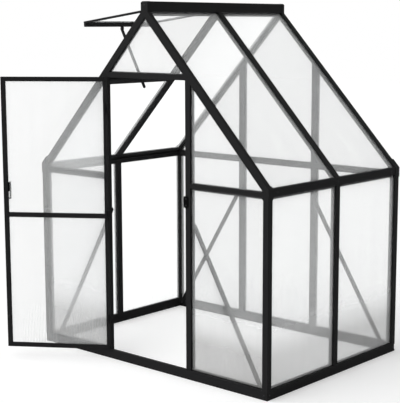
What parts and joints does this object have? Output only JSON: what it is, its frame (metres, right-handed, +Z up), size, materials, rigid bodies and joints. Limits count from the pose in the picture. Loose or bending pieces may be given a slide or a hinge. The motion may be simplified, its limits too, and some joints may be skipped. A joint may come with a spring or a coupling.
{
  "type": "walk-in greenhouse",
  "caption": "Small walk-in gable greenhouse with a black bar frame, frosted twin-wall panes, a hinged two-pane door standing open and a propped roof vent.",
  "frame": {"origin": "on the ground, at the middle of the base frame", "axes": "+Z up, +X along the door gable to its right seen from outside, the door gable faces -Y"},
  "size_m": [1.854, 1.6893, 2.183],
  "materials": {
    "black_frame": "satin black powder coat",
    "black_fitting": "matt black",
    "twin_wall_pane": "frosted twin-wall sheet with upright flutes"
  },
  "bodies": {
    "frame": {"base_frame": "black_frame", "post_front_left": "black_frame", "post_front_right": "black_frame", "post_back_left": "black_frame", "post_back_right": "black_frame", "side_mullion_left": "black_frame", "side_mullion_right": "black_frame", "door_post_hinge": "black_frame", "door_post_latch": "black_frame", "door_catch": "black_fitting", "door_lintel": "black_frame", "back_mullion_left": "black_frame", "back_mullion_right": "black_frame", "eave_rail_left": "black_frame", "eave_rail_right": "black_frame", "eave_connectors": "black_fitting", "front_rail_left": "black_frame", "front_rail_right": "black_frame", "back_rails": "black_frame", "ridge_cap": "black_frame", "ridge_ends": "black_fitting", "rafter_front_left": "black_frame", "rafter_front_right": "black_frame", "rafter_mid_left": "black_frame", "rafter_mid_right": "black_frame", "rafter_back_left": "black_frame", "rafter_back_right": "black_frame", "vent_sill": "black_frame", "front_braces": "black_frame", "back_braces": "black_frame", "left_wall_panes": "twin_wall_pane", "right_wall_panes": "twin_wall_pane", "front_wall_panes": "twin_wall_pane", "front_gable_panes": "twin_wall_pane", "back_wall_panes": "twin_wall_pane", "back_gable_panes": "twin_wall_pane", "roof_panes_left": "twin_wall_pane", "roof_panes_right": "twin_wall_pane", "vent_frame": "black_frame", "vent_pane": "twin_wall_pane", "vent_stay": "black_frame", "hinge_brackets": "black_fitting"},
    "door": {"door_stile_hinge": "black_frame", "door_stile_latch": "black_frame", "door_rails": "black_frame", "door_panes": "twin_wall_pane", "door_handles": "black_fitting", "hinge_knuckles": "black_fitting"}
  },
  "joints": [
    {"name": "door_hinge", "type": "hinge", "parent": "frame", "child": "door", "pos_m": [-0.31, -0.65875, 0.9], "axis": [0, 0, 1], "range_deg": [-14.7, 145.3]}
  ]
}
